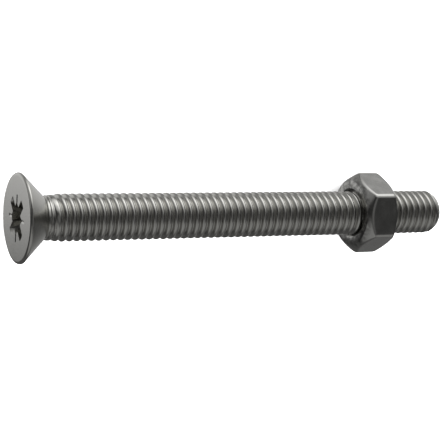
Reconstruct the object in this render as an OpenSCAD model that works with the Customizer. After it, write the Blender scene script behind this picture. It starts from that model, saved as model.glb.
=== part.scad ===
// Countersunk machine bolt with a cross recess and a hexagon nut near its free end.
// The axis runs along +X from the centre of the head's face, and a flat of the nut faces down.

/* [Bolt] */
// Length from the head's face to the free end
bolt_l = 50; // [30:1:80]
// Diameter over the thread's crests
thread_d = 4.9; // [4.4:0.05:5.6]
// Distance between neighbouring crests of the thread
thread_pitch = 0.8; // [0.5:0.05:1]
// Length of the plain neck between the head and the thread's run-out
neck_l = 0.25; // [0:0.05:1]
// Length of the thread's run-out, in pitches
runout_pitches = 2; // [1:0.25:4]
// Length of the chamfer at the free end
tip_chamfer_l = 1.1; // [0.4:0.1:2]
// Slope of that chamfer, measured from the axis
tip_chamfer_angle = 30; // [15:1:40]

/* [Head] */
// Diameter of the head at its face
head_d = 9.2; // [8.4:0.1:10.4]
// Radius of the rounded edge between the face and the cone
edge_round = 0.3; // [0.1:0.05:0.6]
// Angle of the countersunk cone, measured across both sides
countersink_angle = 90; // [80:1:100]

/* [Recess] */
// Distance across two opposite wings at the face
wing_span = 4.9; // [4:0.1:5.6]
// Width of a wing
wing_w = 1; // [0.6:0.05:1.2]
// Slope of the wing tips, measured from the axis
wing_slope = 28; // [15:1:30]
// Depth of the wings below the face
wing_depth = 2.3; // [1.4:0.1:2.4]
// Width of the square core at the face
core_w = 2.4; // [1.8:0.1:2.6]
// Draft of the core's four sides
core_draft = 7; // [2:1:10]
// Slope of the pilot cone under the core, measured from the face
pilot_angle = 30; // [10:5:45]
// Distance across two opposite marks between the wings
mark_span = 4.8; // [3.8:0.1:5.6]
// Width of a mark
mark_w = 0.35; // [0.2:0.05:0.6]
// Depth of a mark
mark_depth = 0.12; // [0.05:0.01:0.3]
// Turn of the recess about the axis
recess_turn = 41; // [0:1:89]

/* [Nut] */
// Width across the flats
nut_af = 8; // [7:0.1:9]
// Height of the nut
nut_h = 4; // [2.7:0.1:5]
// Length of thread that stands out past the nut
stand_out = 7; // [0:0.1:12]
// How far the nut's end faces lie inside the flats
nut_face_inset = 0.45; // [0.2:0.05:0.9]
// Slope of the chamfers at both ends, measured from the end face
nut_chamfer_angle = 42; // [15:1:45]
// How much each corner is blunted
corner_blunt = 0.09; // [0:0.01:0.2]
// How much wider than the bore its countersunk mouths are, on each side
mouth_w = 0.3; // [0.1:0.05:0.5]
// Slope of those mouths, measured from the end face
mouth_angle = 30; // [15:1:60]
// Clearance between the thread's crests and the bore, on each side
thread_clearance = 0.05; // [0.02:0.01:0.1]

/* [Hidden] */
$fn = 96;

// Cuts reach past the faces that they open by this much.
over = 0.2;
bright_steel = [0.66, 0.66, 0.64];
dull_steel = [0.55, 0.55, 0.54];

thread_r = thread_d / 2;
// The blank is rolled at about the thread's pitch diameter, which is what shows beside the head.
blank_r = thread_r - 0.325 * thread_pitch;
head_r = head_d / 2;
head_h = edge_round + (head_r - blank_r) / tan(countersink_angle / 2);
neck_end = head_h + neck_l;
runout_end = neck_end + runout_pitches * thread_pitch;
tip_r = thread_r - tip_chamfer_l * tan(tip_chamfer_angle);

wing_reach = wing_span / 2;
core_foot_w = core_w - 2 * wing_depth * tan(core_draft);
pilot_h = core_foot_w / 2 * tan(pilot_angle);

nut_x = bolt_l - stand_out - nut_h;
nut_corner_r = nut_af / 2 / cos(30) - corner_blunt;
nut_face_r = nut_af / 2 - nut_face_inset;
nut_chamfer_h = (nut_corner_r - nut_face_r) * tan(nut_chamfer_angle);
bore_r = thread_r + thread_clearance;
mouth_h = mouth_w * tan(mouth_angle);

// A piece drawn along +Z comes to lie along +X.
module along_x() {
    rotate([0, 90, 0]) children();
}

// Half of the bolt's section, turned about the axis.
module bolt_body() {
    face_edge = [
        for (turn = [0:22.5:90])
            [head_r - edge_round * (1 - sin(turn)), edge_round * (1 - cos(turn))]
    ];
    shank = [
        [blank_r, head_h],
        [blank_r, neck_end],
        [thread_r, runout_end],
        [thread_r, bolt_l - tip_chamfer_l],
        [tip_r, bolt_l],
        [0, bolt_l]
    ];
    rotate_extrude() polygon(concat([[0, 0]], face_edge, shank));
}

// Two crossed blades, whose tips follow a cone that narrows towards the bottom.
module wings() {
    slope = tan(wing_slope);
    intersection() {
        rotate_extrude()
            polygon([
                [0, -over],
                [wing_reach + over * slope, -over],
                [wing_reach - wing_depth * slope, wing_depth],
                [0, wing_depth]
            ]);
        for (turn = [0, 90])
            rotate([0, 0, turn])
                translate([-wing_span, -wing_w / 2, -over])
                    cube([2 * wing_span, wing_w, wing_depth + over]);
    }
}

// One wedge whose two sides lean inwards; two of them crossed leave the square core.
module core_wedge() {
    draft = tan(core_draft);
    rotate([90, 0, 0])
        linear_extrude(height = 2 * core_w, center = true)
            polygon([
                [-core_w / 2 - over * draft, -over],
                [core_w / 2 + over * draft, -over],
                [core_foot_w / 2, wing_depth],
                [-core_foot_w / 2, wing_depth]
            ]);
}

module core() {
    intersection() {
        core_wedge();
        rotate([0, 0, 90]) core_wedge();
    }
    rotate_extrude()
        polygon([
            [0, wing_depth - over],
            [core_foot_w / 2, wing_depth - over],
            [core_foot_w / 2, wing_depth],
            [0, wing_depth + pilot_h]
        ]);
}

// Shallow V grooves that run out over the corners of the core, halfway between the wings.
module marks() {
    side = mark_w / 2 / mark_depth;
    for (turn = [45, 135])
        rotate([0, 0, turn])
            rotate([90, 0, 90])
                linear_extrude(height = mark_span, center = true)
                    polygon([
                        [-mark_w / 2 - over * side, -over],
                        [mark_w / 2 + over * side, -over],
                        [0, mark_depth]
                    ]);
}

module recess() {
    rotate([0, 0, -recess_turn]) {
        wings();
        core();
        marks();
    }
}

module screw() {
    color(bright_steel)
        along_x()
            difference() {
                bolt_body();
                recess();
            }
}

// The turned outline that cuts both chamfers and blunts the corners of the hexagon.
module nut_turning() {
    rotate_extrude()
        polygon([
            [0, 0],
            [nut_face_r, 0],
            [nut_corner_r, nut_chamfer_h],
            [nut_corner_r, nut_h - nut_chamfer_h],
            [nut_face_r, nut_h],
            [0, nut_h]
        ]);
}

module nut_bore() {
    slope = 1 / tan(mouth_angle);
    rotate_extrude()
        polygon([
            [0, -over],
            [bore_r + mouth_w + over * slope, -over],
            [bore_r, mouth_h],
            [bore_r, nut_h - mouth_h],
            [bore_r + mouth_w + over * slope, nut_h + over],
            [0, nut_h + over]
        ]);
}

module hex_nut() {
    color(dull_steel)
        along_x()
            translate([0, 0, nut_x])
                difference() {
                    intersection() {
                        rotate([0, 0, 30]) cylinder(h = nut_h, d = nut_af / cos(30), $fn = 6);
                        nut_turning();
                    }
                    nut_bore();
                }
}

screw();
hex_nut();
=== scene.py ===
"""A countersunk bolt with a hexagon nut near its free end, in stainless steel.

The bolt lies along +X with the head's face at the origin. Sizes of the piece are in millimetres
until a mesh is made, and everything that Blender holds is in metres.
"""

import math

import bmesh
import bpy
from mathutils import Matrix, Vector


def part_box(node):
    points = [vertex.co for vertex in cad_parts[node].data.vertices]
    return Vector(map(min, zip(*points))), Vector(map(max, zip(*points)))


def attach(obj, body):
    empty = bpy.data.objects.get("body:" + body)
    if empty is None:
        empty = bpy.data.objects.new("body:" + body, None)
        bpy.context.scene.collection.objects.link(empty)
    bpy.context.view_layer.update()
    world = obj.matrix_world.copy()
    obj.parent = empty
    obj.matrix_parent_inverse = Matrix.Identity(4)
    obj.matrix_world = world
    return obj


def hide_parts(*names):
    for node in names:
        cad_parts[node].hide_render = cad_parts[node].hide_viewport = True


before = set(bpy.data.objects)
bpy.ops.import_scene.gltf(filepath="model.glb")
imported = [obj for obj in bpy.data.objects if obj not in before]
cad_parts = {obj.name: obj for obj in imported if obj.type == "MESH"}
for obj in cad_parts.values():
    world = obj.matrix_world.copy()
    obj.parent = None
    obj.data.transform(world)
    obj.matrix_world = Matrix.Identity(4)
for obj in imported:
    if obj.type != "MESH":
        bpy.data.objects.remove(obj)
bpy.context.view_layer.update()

MM = 0.001
# Points nearer to each other than this are welded, in metres.
WELD = 1e-8
# Edges are sharp where two faces meet at more than this.
SHARP_ANGLE = math.radians(22)


# Sizes that the frame gives, in millimetres.

screw_low, screw_high = (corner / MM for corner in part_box("screw"))
nut_low, nut_high = (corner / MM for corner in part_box("hex_nut"))
BOLT_L = screw_high.x - screw_low.x
HEAD_R = screw_high.y
NUT_X = nut_low.x
NUT_H = nut_high.x - nut_low.x
NUT_APOTHEM = nut_high.z


# Sizes that the frame doesn't hold, in millimetres, and slopes in radians.

PITCH = 0.8
THREAD_R = 2.45
ROOT_ROUND = 0.08
CREST_ROUND = 0.26
FLANK_SLOPE = math.radians(60)
BLANK_R = 2.19
COLLAR_R = 2.29
COLLAR_OFF = 0.3
# The collar's rounded near edge: how far before its full radius, and how far below it.
COLLAR_EDGE = ((0.08, COLLAR_R - BLANK_R), (0.05, 0.03), (0.02, 0.005))
CREST_RUNOUT = 1.6
GROOVE_RUNOUT = 0.7
THREAD_PHASE = 0.12
# How many steps the two roundings of the thread's form take, and how near to a thread's end its last
# row may come, in pitches.
ROOT_STEPS = 3
CREST_STEPS = 4
THREAD_END_GAP = 0.02

RIM_H = 0.3
RIM_ROUND = 0.08
NECK_ROUND = 0.3
TIP_CHAMFER = 0.9
TIP_SLOPES = (math.radians(22), math.radians(40))
TIP_ROUND = 0.12
# The free end's edge is rounded over this many degrees.
TIP_ROUND_TURN = 50
# A rounding between faces 45 degrees apart starts this many of its radii before their corner.
ROUND_START = math.tan(math.radians(45 / 2))

WING_REACH = 2.45
WING_W = 1
WING_SLOPE = math.radians(28)
WING_DEPTH = 2.3
CORE_W = 2.4
CORE_DRAFT = math.radians(7)
PILOT_SLOPE = math.radians(30)
PILOT_END = 0.02
MARK_REACH = 2.4
MARK_W = 0.35
MARK_DEPTH = 0.08
RECESS_TURN = math.radians(41)
# Cutters reach past the head's face by this much.
OVER = 0.2

NUT_FACE_R = 3.55
# The end faces' rims are rounded this far to both sides.
NUT_FACE_BLEND = 0.1
# The near chamfer's slope and the far one's.
NUT_SLOPES = (math.radians(42), math.radians(30))
NUT_CORNER_ROUND = 0.6
NUT_CORNER_STEPS = 4
NUT_EDGE_ROUND = 0.25
NUT_EDGE_STEPS = 3
# Where the columns stand on half a flat, from 0 at its middle to 1 at the corner's rounding.
NUT_FLAT_COLUMNS = (0, 0.3, 0.55, 0.75, 0.9, 0.97)
MOUTH_R = 2.8
MOUTH_SLOPE = math.radians(30)
THREAD_GAP = 0.05

# A flat face has one more row this far inside its rounded edge, so that its shading stays flat.
FLAT_MARGIN = 0.06

SCREW_COLUMNS = 72


# Meshes are gathered as plain lists of points and faces, in millimetres.

class Skin:
    """Points and faces of one closed surface about the X axis."""

    def __init__(self):
        self.points = []
        self.faces = []

    def point(self, x, radius, turn):
        """A point at that radius; turn runs from +Z towards -Y, so a right-hand thread climbs with it."""
        angle = 2 * math.pi * turn
        self.points.append((x, -radius * math.sin(angle), radius * math.cos(angle)))
        return len(self.points) - 1

    def ring(self, turns, x, radius):
        """One point for each turn. x and radius may be numbers or functions of the turn."""
        return [
            self.point(x(t) if callable(x) else x, radius(t) if callable(radius) else radius, t)
            for t in turns
        ]

    def face(self, corners):
        kept = [c for i, c in enumerate(corners) if c != corners[i - 1]]
        if len(set(kept)) > 2:
            self.faces.append(kept)

    def bridge(self, near, far):
        count = len(near)
        for i in range(count):
            k = (i + 1) % count
            self.face([near[i], near[k], far[k], far[i]])

    def walk(self, turns, first, places):
        """Rings at each (x, radius) of a section, joined one after the other. Returns the last."""
        last = first
        for x, radius in places:
            here = self.ring(turns, x, radius)
            self.bridge(last, here)
            last = here
        return last

    def helix(self, turns, first, last, x_first, x_last, rows, radius):
        """A wall between two rings, whose rows follow the thread and stop square at both ends.

        rows holds the places of one pitch's rows, from 0 to 1, and radius(x, place) is the wall's.
        """
        count = len(rows)
        margin = THREAD_END_GAP * PITCH
        lowest = math.floor((x_first - THREAD_PHASE) / PITCH - 2) * count
        highest = math.ceil((x_last - THREAD_PHASE) / PITCH + 2) * count
        columns = []
        for i, turn in enumerate(turns):
            column = {}
            for k in range(lowest, highest):
                place = rows[k % count]
                x = THREAD_PHASE + PITCH * (k // count + place + turn)
                if x < x_first + margin:
                    column[k] = first[i]
                elif x > x_last - margin:
                    column[k] = last[i]
                else:
                    column[k] = self.point(x, radius(x, place), turn)
            columns.append(column)
        for i, column in enumerate(columns):
            wraps = i + 1 == len(columns)
            beside = columns[0] if wraps else columns[i + 1]
            shift = count if wraps else 0
            for k in range(lowest, highest - 1 - shift):
                self.face([column[k], beside[k + shift], beside[k + 1 + shift], column[k + 1]])

    def mesh(self, name):
        data = bpy.data.meshes.new(name)
        data.from_pydata([Vector(p) * MM for p in self.points], [], self.faces)
        tidy(data)
        return data


def tidy(data):
    """Welds the seams, turns every face outwards and drops points that no face uses."""
    work = bmesh.new()
    work.from_mesh(data)
    bmesh.ops.remove_doubles(work, verts=work.verts, dist=WELD)
    loose = [v for v in work.verts if not v.link_faces]
    bmesh.ops.delete(work, geom=loose, context="VERTS")
    bmesh.ops.recalc_face_normals(work, faces=work.faces)
    work.to_mesh(data)
    work.free()


def arc(centre, radius, start, end, steps):
    """Points (x, radius) of a section's rounding, from one angle to the other, in degrees."""
    turned = []
    for i in range(steps + 1):
        angle = math.radians(start + (end - start) * i / steps)
        turned.append((centre[0] + radius * math.cos(angle), centre[1] + radius * math.sin(angle)))
    return turned


# The thread's form over one pitch, with 0 at the root's middle and 0.5 at the crest's.

ROOT_END = ROOT_ROUND * math.sin(FLANK_SLOPE)
CREST_START = PITCH / 2 - CREST_ROUND * math.sin(FLANK_SLOPE)
ROUNDINGS_H = (ROOT_ROUND + CREST_ROUND) * (1 - math.cos(FLANK_SLOPE))
ROOT_R = THREAD_R - ROUNDINGS_H - (CREST_START - ROOT_END) * math.tan(FLANK_SLOPE)


def thread_radius(place):
    """Full thread's radius at a place between 0 and 1 of a pitch."""
    x = min(place, 1 - place) * PITCH
    if x < ROOT_END:
        return ROOT_R + ROOT_ROUND - math.sqrt(ROOT_ROUND ** 2 - x ** 2)
    if x > CREST_START:
        return THREAD_R - CREST_ROUND + math.sqrt(CREST_ROUND ** 2 - (PITCH / 2 - x) ** 2)
    root_h = ROOT_ROUND * (1 - math.cos(FLANK_SLOPE))
    return ROOT_R + root_h + (x - ROOT_END) * math.tan(FLANK_SLOPE)


def thread_rows():
    """Places of the rows over one pitch: close together on the two roundings, none on the flanks."""
    root = [ROOT_ROUND * math.sin(FLANK_SLOPE * i / ROOT_STEPS) for i in range(ROOT_STEPS + 1)]
    crest = [
        PITCH / 2 - CREST_ROUND * math.sin(FLANK_SLOPE * i / CREST_STEPS)
        for i in reversed(range(CREST_STEPS + 1))
    ]
    half = [x / PITCH for x in root + crest]
    return half + [1 - place for place in reversed(half[1:-1])]


def smooth(value):
    value = min(max(value, 0), 1)
    return value * value * (3 - 2 * value)


HEAD_H = RIM_H + HEAD_R - BLANK_R
COLLAR_X = HEAD_H + COLLAR_OFF
TIP_BEND = TIP_CHAMFER / (math.sin(TIP_SLOPES[1]) - math.sin(TIP_SLOPES[0]))


def tip_radius(x):
    """The free end's chamfer bulges: its slope grows from the first of TIP_SLOPES to the second."""
    along = x - (BOLT_L - TIP_CHAMFER) + TIP_BEND * math.sin(TIP_SLOPES[0])
    if along < 0:
        return THREAD_R
    return THREAD_R - TIP_BEND * math.cos(TIP_SLOPES[0]) + math.sqrt(TIP_BEND ** 2 - along ** 2)


def screw_radius(x, place):
    """The rolled thread fades out beside the head and is cut by the free end's chamfer."""
    full = thread_radius(place)
    length = CREST_RUNOUT if full > COLLAR_R else GROOVE_RUNOUT
    grown = smooth((x - COLLAR_X) / length)
    return min(COLLAR_R + (full - COLLAR_R) * grown, tip_radius(x))


def cut_outline(radius, half_width, steps=4):
    """A cross's outline whose wing tips lie on a circle, as (across, along) pairs."""
    tip = math.asin(half_width / radius)
    outline = []
    for wing in range(4):
        middle = wing * math.pi / 2
        inner = half_width * math.sqrt(2)
        outline.append((inner * math.cos(middle - math.pi / 4), inner * math.sin(middle - math.pi / 4)))
        for i in range(steps + 1):
            angle = middle + tip * (2 * i / steps - 1)
            outline.append((radius * math.cos(angle), radius * math.sin(angle)))
    return outline


def recess_point(depth, across, along):
    """A point below the head's face, in metres, on axes that are turned with the recess."""
    c = math.cos(RECESS_TURN)
    s = math.sin(RECESS_TURN)
    return Vector((depth, across * s + along * c, across * c - along * s)) * MM


def cutter(name, points, faces):
    """A closed solid to be cut out of the head."""
    data = bpy.data.meshes.new(name)
    data.from_pydata(points, [], faces)
    tidy(data)
    return bpy.data.objects.new(name, data)


def prism(name, levels):
    """A cutter through outlines of equal count, each with its depth below the head's face."""
    points = [recess_point(depth, *corner) for depth, outline in levels for corner in outline]
    count = len(levels[0][1])
    faces = [list(range(count)), list(range(len(points) - count, len(points)))]
    for level in range(len(levels) - 1):
        for i in range(count):
            k = (i + 1) % count
            a = level * count
            faces.append([a + i, a + k, a + count + k, a + count + i])
    return cutter(name, points, faces)


def square(half):
    return [(half, half), (-half, half), (-half, -half), (half, -half)]


def mark(name, turn):
    """A cutter for one V groove through the middle of the face, turned from the wings."""
    c = math.cos(turn)
    s = math.sin(turn)
    side = MARK_W / 2 * (1 + OVER / MARK_DEPTH)
    points = [
        recess_point(depth, across * c - along * s, across * s + along * c)
        for along in (-MARK_REACH, MARK_REACH)
        for depth, across in ((-OVER, side), (MARK_DEPTH, 0), (-OVER, -side))
    ]
    faces = [[0, 1, 2], [3, 4, 5], [0, 1, 4, 3], [1, 2, 5, 4], [2, 0, 3, 5]]
    return cutter(name, points, faces)


def recess_cutters():
    narrowing = math.tan(WING_SLOPE)
    wings = prism("wing_cutter", [
        (-OVER, cut_outline(WING_REACH + OVER * narrowing, WING_W / 2)),
        (WING_DEPTH, cut_outline(WING_REACH - WING_DEPTH * narrowing, WING_W / 2)),
    ])
    draft = math.tan(CORE_DRAFT)
    foot = CORE_W / 2 - WING_DEPTH * draft
    core = prism("core_cutter", [
        (-OVER, square(CORE_W / 2 + OVER * draft)),
        (WING_DEPTH, square(foot)),
        (WING_DEPTH + foot * math.tan(PILOT_SLOPE), square(PILOT_END)),
    ])
    return [wings, core, mark("mark_cutter_a", math.pi / 4), mark("mark_cutter_b", 3 * math.pi / 4)]


def add_object(name, data):
    """Puts a mesh into the scene as an object of its own."""
    added = bpy.data.objects.new(name, data)
    bpy.context.scene.collection.objects.link(added)
    return added


def subtract(piece, solid):
    """Cuts one solid out of the piece for good."""
    bpy.context.scene.collection.objects.link(solid)
    cut = piece.modifiers.new("cut", "BOOLEAN")
    cut.operation = "DIFFERENCE"
    cut.solver = "MANIFOLD"
    cut.object = solid
    evaluated = piece.evaluated_get(bpy.context.evaluated_depsgraph_get())
    data = bpy.data.meshes.new_from_object(evaluated)
    piece.modifiers.clear()
    old = piece.data
    piece.data = data
    bpy.data.meshes.remove(old)
    bpy.data.objects.remove(solid)


def shade(data):
    """Smooth shading between sharp edges."""
    for polygon in data.polygons:
        polygon.use_smooth = True
    data.set_sharp_from_angle(angle=SHARP_ANGLE)


def make_screw():
    skin = Skin()
    turns = [i / SCREW_COLUMNS for i in range(SCREW_COLUMNS)]
    face_round = RIM_H - RIM_ROUND * ROUND_START
    head = [(0, HEAD_R - face_round - FLAT_MARGIN)]
    head += arc((face_round, HEAD_R - face_round), face_round, 180, 90, steps=6)
    head += arc((face_round, HEAD_R - RIM_ROUND), RIM_ROUND, 90, 45, steps=2)[1:]
    neck = (HEAD_H + NECK_ROUND * ROUND_START, BLANK_R + NECK_ROUND)
    head += arc(neck, NECK_ROUND, 225, 270, steps=4)
    head += [(COLLAR_X - before, COLLAR_R - below) for before, below in COLLAR_EDGE]
    face = skin.ring(turns, *head[0])
    skin.faces.append(face[::-1])
    last = skin.walk(turns, face, head[1:])
    start = skin.ring(turns, COLLAR_X, COLLAR_R)
    skin.bridge(last, start)
    x_last = BOLT_L - TIP_ROUND
    end = skin.ring(turns, x_last, tip_radius(x_last))
    skin.helix(turns, start, end, COLLAR_X, x_last, thread_rows(), screw_radius)
    turned = math.radians(TIP_ROUND_TURN)
    tip_x = BOLT_L - TIP_ROUND * (1 - math.cos(turned))
    tip_centre = (BOLT_L - TIP_ROUND, tip_radius(tip_x) - TIP_ROUND * math.sin(turned))
    cap = skin.walk(turns, end, arc(tip_centre, TIP_ROUND, TIP_ROUND_TURN, 0, steps=3))
    skin.faces.append(cap)
    piece = add_object("threaded_screw", skin.mesh("threaded_screw"))
    for solid in recess_cutters():
        subtract(piece, solid)
    tidy(piece.data)
    piece.data.materials.clear()
    shade(piece.data)
    return piece


# One side of the hexagon takes up this many degrees.
NUT_SIDE = 60
HALF_SIDE = math.radians(NUT_SIDE / 2)
CORNER_OFF = (NUT_APOTHEM - NUT_CORNER_ROUND) / math.cos(HALF_SIDE)
FLAT_END = math.atan((NUT_APOTHEM - NUT_CORNER_ROUND) * math.tan(HALF_SIDE) / NUT_APOTHEM)


def sector(turn):
    """The angle from the nearest flat's middle, in radians; one flat faces straight down."""
    angle = turn * 360 % NUT_SIDE
    return math.radians(angle - NUT_SIDE if angle > NUT_SIDE / 2 else angle)


def hexagon_radius(turn):
    """How far the flats and the rounded corners lie from the axis."""
    off = abs(sector(turn))
    if off <= FLAT_END:
        return NUT_APOTHEM / math.cos(off)
    bend = HALF_SIDE - off
    reach = NUT_CORNER_ROUND ** 2 - (CORNER_OFF * math.sin(bend)) ** 2
    return CORNER_OFF * math.cos(bend) + math.sqrt(reach)


def nut_turns():
    """Columns lie close together at the rounded corners and wide apart on the flats."""
    edge = math.degrees(FLAT_END)
    corner = NUT_SIDE / 2
    half = [edge * part for part in NUT_FLAT_COLUMNS]
    half += [edge + (corner - edge) * step / NUT_CORNER_STEPS for step in range(NUT_CORNER_STEPS)]
    side = half + [corner] + [NUT_SIDE - angle for angle in reversed(half[1:])]
    return [(NUT_SIDE * k + angle) / 360 for k in range(360 // NUT_SIDE) for angle in side]


def make_nut():
    skin = Skin()
    turns = nut_turns()

    def half_shell(inner, x_face, side, chamfer):
        """From the bore's mouth outwards to the flats. side is 1 at the near end, -1 at the far."""
        slope = math.tan(chamfer)

        def fall(turn):
            return (hexagon_radius(turn) - NUT_FACE_R) * slope

        def edge(step):
            """A rounded edge between chamfer and flat: (drop from the end face, radius) of one step."""
            part = step / NUT_EDGE_STEPS
            inwards = NUT_EDGE_ROUND * (1 - part) ** 2
            down = NUT_EDGE_ROUND * part ** 2

            def drop(turn):
                return fall(turn) - inwards * math.sin(chamfer) + down

            def radius(turn):
                return hexagon_radius(turn) - inwards * math.cos(chamfer)

            return drop, radius

        def at(drop):
            return lambda turn: x_face + side * drop(turn)

        rim = side * NUT_FACE_BLEND * slope
        places = [
            (x_face, NUT_FACE_R - NUT_FACE_BLEND),
            (x_face + rim / 4, NUT_FACE_R),
            (x_face + rim, NUT_FACE_R + NUT_FACE_BLEND),
        ]
        for step in range(NUT_EDGE_STEPS + 1):
            drop, radius = edge(step)
            places.append((at(drop), radius))
        places.append((at(lambda turn: fall(turn) + NUT_EDGE_ROUND + FLAT_MARGIN), hexagon_radius))
        return skin.walk(turns, inner, places)

    x_far = NUT_X + NUT_H
    near_mouth = skin.ring(turns, NUT_X, MOUTH_R)
    far_mouth = skin.ring(turns, x_far, MOUTH_R)
    near = half_shell(near_mouth, NUT_X, 1, NUT_SLOPES[0])
    far = half_shell(far_mouth, x_far, -1, NUT_SLOPES[1])
    skin.bridge(near, far)

    def bore(x, place):
        depth = min(x - NUT_X, x_far - x)
        mouth = MOUTH_R - depth / math.tan(MOUTH_SLOPE)
        return max(thread_radius(place) + THREAD_GAP, mouth)

    skin.helix(turns, near_mouth, far_mouth, NUT_X, x_far, thread_rows(), bore)
    piece = add_object("threaded_nut", skin.mesh("threaded_nut"))
    shade(piece.data)
    return piece


# The steels. Each has its colour, its roughness and how far the mottle moves the roughness.

SCREW_STEEL = ((0.5, 0.495, 0.47), 0.18, 0.045)
NUT_STEEL = ((0.45, 0.447, 0.43), 0.19, 0.05)
# Each noise has its scale, in waves per metre, its detail, and the values between which it takes effect.
MOTTLE = (700, 5, (0.3, 0.7))
BLOTCHES = (1800, 4, (0.35, 0.65))
# Where the mottle is at its lowest and its highest, the colour is multiplied by these.
MOTTLE_TONES = (0.85, 1.1)
# Painted shade on the end faces: in its darkest blotches an end face keeps this share of its colour,
# and the painted shade fades out over this many millimetres.
ENDS_DARKEST = 0.35
ENDS_FADE = 0.6
# The surface's fine grain: the noise's scale and detail, and its strength and height in millimetres.
GRAIN = (4000, 3)
GRAIN_STRENGTH = 0.1
GRAIN_H = 0.03


# Materials and the studio are made of nodes. The next three add one node each and return what it gives.

def noise(tree, places, scale, detail):
    node = tree.nodes.new("ShaderNodeTexNoise")
    node.inputs["Scale"].default_value = scale
    node.inputs["Detail"].default_value = detail
    tree.links.new(places, node.inputs["Vector"])
    return node.outputs["Fac"]


def remap(tree, value, old, new, kind="LINEAR"):
    """The value carried from the range old to the range new, and held at their ends."""
    node = tree.nodes.new("ShaderNodeMapRange")
    node.interpolation_type = kind
    for socket, number in zip(("From Min", "From Max", "To Min", "To Max"), (*old, *new)):
        node.inputs[socket].default_value = number
    tree.links.new(value, node.inputs["Value"])
    return node.outputs["Result"]


def compute(tree, operation, *values):
    """Arithmetic on numbers and on what other nodes give."""
    node = tree.nodes.new("ShaderNodeMath")
    node.operation = operation
    for socket, value in zip(node.inputs, values):
        if isinstance(value, bpy.types.NodeSocket):
            tree.links.new(value, socket)
        else:
            socket.default_value = value
    return node.outputs["Value"]


def darken_ends(tree, places, toned, middle, half):
    """The colour darkened in blotches of painted shade on a piece's two end faces, fading out just past
    them.
    """
    parts = tree.nodes.new("ShaderNodeSeparateXYZ")
    tree.links.new(places, parts.inputs["Vector"])
    off = compute(tree, "ABSOLUTE", compute(tree, "SUBTRACT", parts.outputs["X"], middle))
    share = remap(tree, off, (half - ENDS_FADE * MM, half), (0, 1), "SMOOTHSTEP")
    scale, detail, active = BLOTCHES
    blotches = remap(tree, noise(tree, places, scale, detail), active, (ENDS_DARKEST, 1))
    dark = tree.nodes.new("ShaderNodeMix")
    dark.data_type = "RGBA"
    dark.blend_type = "MULTIPLY"
    tree.links.new(share, dark.inputs["Factor"])
    tree.links.new(toned, dark.inputs["A"])
    tree.links.new(blotches, dark.inputs["B"])
    return dark.outputs["Result"]


def steel(name, colour, roughness, mottle, shaded_ends=None):
    """Stainless steel with a mottle in its colour and gloss, and a fine grain in its surface.

    The last argument holds a piece's middle along X and half its length; there the end faces get painted
    shade.
    """
    material = bpy.data.materials.new(name)
    material.use_nodes = True
    tree = material.node_tree
    shader = tree.nodes["Principled BSDF"]
    shader.inputs["Metallic"].default_value = 1
    places = tree.nodes.new("ShaderNodeTexCoord").outputs["Object"]
    scale, detail, active = MOTTLE
    coarse = noise(tree, places, scale, detail)
    gloss = remap(tree, coarse, active, (roughness - mottle, roughness + mottle))
    tree.links.new(gloss, shader.inputs["Roughness"])
    tint = tree.nodes.new("ShaderNodeMix")
    tint.data_type = "RGBA"
    for socket, tone in zip("AB", MOTTLE_TONES):
        tint.inputs[socket].default_value = (*[channel * tone for channel in colour], 1)
    tree.links.new(coarse, tint.inputs["Factor"])
    toned = tint.outputs["Result"]
    # The end faces are darkened in blotches, as painted shade.
    if shaded_ends:
        toned = darken_ends(tree, places, toned, *shaded_ends)
    tree.links.new(toned, shader.inputs["Base Color"])
    bump = tree.nodes.new("ShaderNodeBump")
    bump.inputs["Strength"].default_value = GRAIN_STRENGTH
    bump.inputs["Distance"].default_value = GRAIN_H * MM
    tree.links.new(noise(tree, places, *GRAIN), bump.inputs["Height"])
    tree.links.new(bump.outputs["Normal"], shader.inputs["Normal"])
    return material


# The camera stands above the head's end of the bolt and looks down along it. Places and the sizes of
# the floor and its lamp are in metres, and the camera's lens is in millimetres.

CAMERA_PLACE = Vector((-0.03946, 0.01387, 0.12355))
CAMERA_AIM = Vector((0.022644, -0.000536, 0))
CAMERA_ROLL = math.radians(1.92)
CAMERA_LENS = 106.14


def make_camera():
    data = bpy.data.cameras.new("camera")
    data.lens = CAMERA_LENS
    data.sensor_width = 36
    data.clip_start = 0.001
    camera = bpy.data.objects.new("camera", data)
    away = (CAMERA_AIM - CAMERA_PLACE).normalized()
    right = away.cross(Vector((0, 1, 0))).normalized()
    up = right.cross(away)
    turned_up = math.cos(CAMERA_ROLL) * up - math.sin(CAMERA_ROLL) * right
    turned_right = away.cross(turned_up)
    turning = Matrix((turned_right, turned_up, -away)).transposed().to_4x4()
    camera.matrix_world = Matrix.Translation(CAMERA_PLACE) @ turning
    bpy.context.scene.collection.objects.link(camera)
    bpy.context.scene.camera = camera


def make_floor(half=0.6):
    """A pale floor that carries the bolt. It casts no shadow and doesn't show in the steel."""
    data = bpy.data.meshes.new("floor")
    corners = [(x, y, 0) for x, y in square(half)]
    data.from_pydata(corners, [], [(0, 1, 2, 3)])
    floor = add_object("floor", data)
    floor.location = (BOLT_L / 2 * MM, 0, -HEAD_R * MM)
    material = bpy.data.materials.new("floor")
    material.use_nodes = True
    shader = material.node_tree.nodes["Principled BSDF"]
    shader.inputs["Base Color"].default_value = (0.9, 0.9, 0.9, 1)
    shader.inputs["Roughness"].default_value = 0.8
    data.materials.append(material)
    floor.visible_glossy = False
    floor.visible_shadow = False


# The studio is dim all round, with soft lamps far away. Each lamp has its azimuth from +X towards
# +Y, its elevation, the half angles where it ends and where it is full, all in degrees, and its tone.

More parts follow.
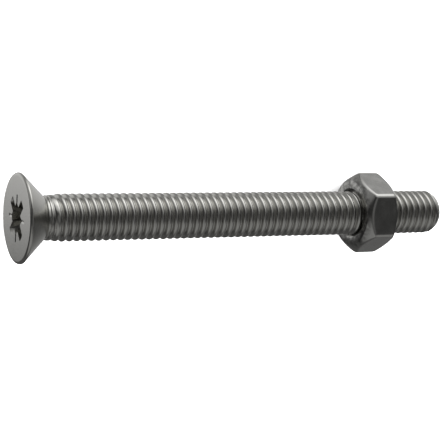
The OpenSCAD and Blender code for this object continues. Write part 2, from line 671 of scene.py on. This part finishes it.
DIM = 0.05
BACKDROP = 1
LAMPS = [
    (60, 24, 50, 15, 0.54),
    (60, 12, 30, 8, 0.83),
    (90, 12, 50, 15, 0.50),
    (90, 0, 30, 8, 0.53),
    (150, 0, 30, 8, 0.31),
    (240, 24, 50, 15, 0.31),
    (311, 30, 28, 10, 0.23),
    (305, -10, 26, 8, 0.11),
    (300, 24, 50, 15, 0.06),
    (0, 85, 30, 8, 0.13),
    (36, -32, 50, 15, 0.41),
    (135, -52, 39, 30, 0.31),
    (270, -52, 50, 15, 0.06),
    (0, -52, 50, 15, 0.27),
    (150, -62, 25, 16, 0.44),
]


def heading(azimuth, elevation):
    turned = math.radians(azimuth)
    raised = math.radians(elevation)
    flat = math.cos(raised)
    return (flat * math.cos(turned), flat * math.sin(turned), math.sin(raised))


def make_world():
    """The lamps show in reflections, and whoever looks past the floor sees a plain pale backdrop."""
    world = bpy.data.worlds.new("studio")
    world.use_nodes = True
    tree = world.node_tree
    looking = tree.nodes.new("ShaderNodeTexCoord").outputs["Generated"]
    total = DIM
    for azimuth, elevation, edge, core, tone in LAMPS:
        facing = tree.nodes.new("ShaderNodeVectorMath")
        facing.operation = "DOT_PRODUCT"
        facing.inputs[1].default_value = heading(azimuth, elevation)
        tree.links.new(looking, facing.inputs[0])
        reach = (math.cos(math.radians(edge)), math.cos(math.radians(core)))
        lamp = remap(tree, facing.outputs["Value"], reach, (0, tone), "SMOOTHSTEP")
        total = compute(tree, "ADD", total, lamp)
    seen = tree.nodes.new("ShaderNodeMix")
    seen.inputs["B"].default_value = BACKDROP
    path = tree.nodes.new("ShaderNodeLightPath")
    tree.links.new(path.outputs["Is Camera Ray"], seen.inputs["Factor"])
    tree.links.new(total, seen.inputs["A"])
    background = tree.nodes["Background"]
    background.inputs["Color"].default_value = (1, 1, 1, 1)
    tree.links.new(seen.outputs["Result"], background.inputs["Strength"])
    bpy.context.scene.world = world


def make_floor_lamp(height=0.8):
    """A wide lamp overhead keeps the floor white, and doesn't show in the steel."""
    data = bpy.data.lights.new("floor_lamp", "AREA")
    data.size = 1.2
    data.energy = 34
    lamp = bpy.data.objects.new("floor_lamp", data)
    lamp.location = (BOLT_L / 2 * MM, 0, height)
    lamp.visible_glossy = False
    bpy.context.scene.collection.objects.link(lamp)


make_camera()
make_floor()
screw = make_screw()
nut = make_nut()
screw.data.materials.append(steel("screw_steel", *SCREW_STEEL))
# The nut's two end faces are darkened in blotches, as painted shade.
nut_reach = ((NUT_X + NUT_H / 2) * MM, NUT_H / 2 * MM)
nut.data.materials.append(steel("nut_steel", *NUT_STEEL, nut_reach))
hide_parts("screw")
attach(screw, "screw")
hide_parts("hex_nut")
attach(nut, "nut")
make_world()
make_floor_lamp()
bpy.context.scene.view_settings.view_transform = "Standard"
